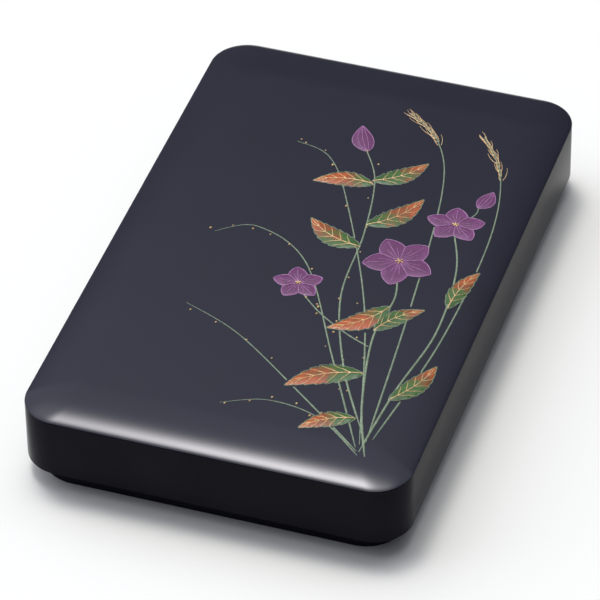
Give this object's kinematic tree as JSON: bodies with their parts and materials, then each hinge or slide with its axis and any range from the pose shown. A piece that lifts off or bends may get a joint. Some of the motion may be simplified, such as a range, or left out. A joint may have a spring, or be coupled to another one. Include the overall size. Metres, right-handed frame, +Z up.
{
  "type": "writing box",
  "caption": "Low lacquered box with a crowned lift-off lid, holding an inkstone, ink stick, water dropper, paperweight and brushes on a board and in a tray.",
  "frame": {"origin": "middle of the underside, on the surface that the box stands on", "axes": "+Y along the long side, from the front short side (the end nearest the picture's camera) to the back; +X across the short side, to the right; +Z up"},
  "size_m": [0.16, 0.255, 0.0379],
  "materials": {
    "black_lacquer": "polished black lacquer over wood",
    "inkstone": "fine honed dark slate",
    "ink_cake": "moulded dry ink, softly polished",
    "bronze": "dark patinated copper",
    "brass": "satin brass",
    "bamboo": "smooth bamboo",
    "horn": "polished dark horn",
    "brush_hair": "stiffened animal hair"
  },
  "bodies": {
    "box_body": {"body_floor": "black_lacquer", "body_side_left": "black_lacquer", "body_side_right": "black_lacquer", "body_end_front": "black_lacquer", "body_corner_front_left": "black_lacquer", "body_corner_front_right": "black_lacquer", "body_end_back": "black_lacquer", "body_corner_back_left": "black_lacquer", "body_corner_back_right": "black_lacquer"},
    "lid": {"lid_shell": "black_lacquer"},
    "board": {"stone_board": "black_lacquer"},
    "stone": {"inkstone": "inkstone"},
    "ink": {"ink_stick": "ink_cake"},
    "dropper": {"dropper_pan": "bronze", "dropper_top": "bronze", "dropper_spout": "bronze"},
    "tray": {"tray_floor": "black_lacquer", "tray_side_left": "black_lacquer", "tray_side_right": "black_lacquer", "tray_end_front": "black_lacquer", "tray_corner_front_left": "black_lacquer", "tray_end_back": "black_lacquer", "tray_corner_back_left": "black_lacquer", "tray_divider": "black_lacquer", "brush_rest_front": "black_lacquer", "brush_rest_rear": "black_lacquer"},
    "large_brush": {"large_brush_handle": "bamboo", "large_brush_end_knob": "horn", "large_brush_ferrule": "horn", "large_brush_hair": "brush_hair"},
    "large_cap": {"large_brush_cap": "brass"},
    "small_brush": {"small_brush_handle": "bamboo", "small_brush_end_knob": "horn", "small_brush_ferrule": "horn", "small_brush_hair": "brush_hair"},
    "small_cap": {"small_brush_cap": "brass"},
    "paperweight": {"paperweight_bar": "brass", "paperweight_knob": "brass"}
  },
  "joints": [
    {"name": "lid_lift", "type": "slide", "parent": "box_body", "child": "lid", "axis": [0, 0, 1], "range_m": [0, 0.15]},
    {"name": "board_lift", "type": "slide", "parent": "box_body", "child": "board", "axis": [0, 0, 1], "range_m": [0, 0.0075]},
    {"name": "inkstone_lift", "type": "slide", "parent": "board", "child": "stone", "axis": [0, 0, 1], "range_m": [0, 0.008]},
    {"name": "ink_stick_lift", "type": "slide", "parent": "board", "child": "ink", "axis": [0, 0, 1], "range_m": [0, 0.012]},
    {"name": "dropper_lift", "type": "slide", "parent": "board", "child": "dropper", "axis": [0, 0, 1], "range_m": [0, 0.0075]},
    {"name": "tray_lift", "type": "slide", "parent": "box_body", "child": "tray", "axis": [0, 0, 1], "range_m": [0, 0.0075]},
    {"name": "large_brush_lift", "type": "slide", "parent": "tray", "child": "large_brush", "axis": [0, 0, 1], "range_m": [0, 0.009]},
    {"name": "large_cap_pull", "type": "slide", "parent": "large_brush", "child": "large_cap", "axis": [0, 1, 0], "range_m": [0, 0.014]},
    {"name": "small_brush_lift", "type": "slide", "parent": "tray", "child": "small_brush", "axis": [0, 0, 1], "range_m": [0, 0.012]},
    {"name": "small_cap_pull", "type": "slide", "parent": "small_brush", "child": "small_cap", "axis": [0, 1, 0], "range_m": [0, 0.024]},
    {"name": "paperweight_lift", "type": "slide", "parent": "tray", "child": "paperweight", "axis": [0, 0, 1], "range_m": [0, 0.0075]}
  ]
}
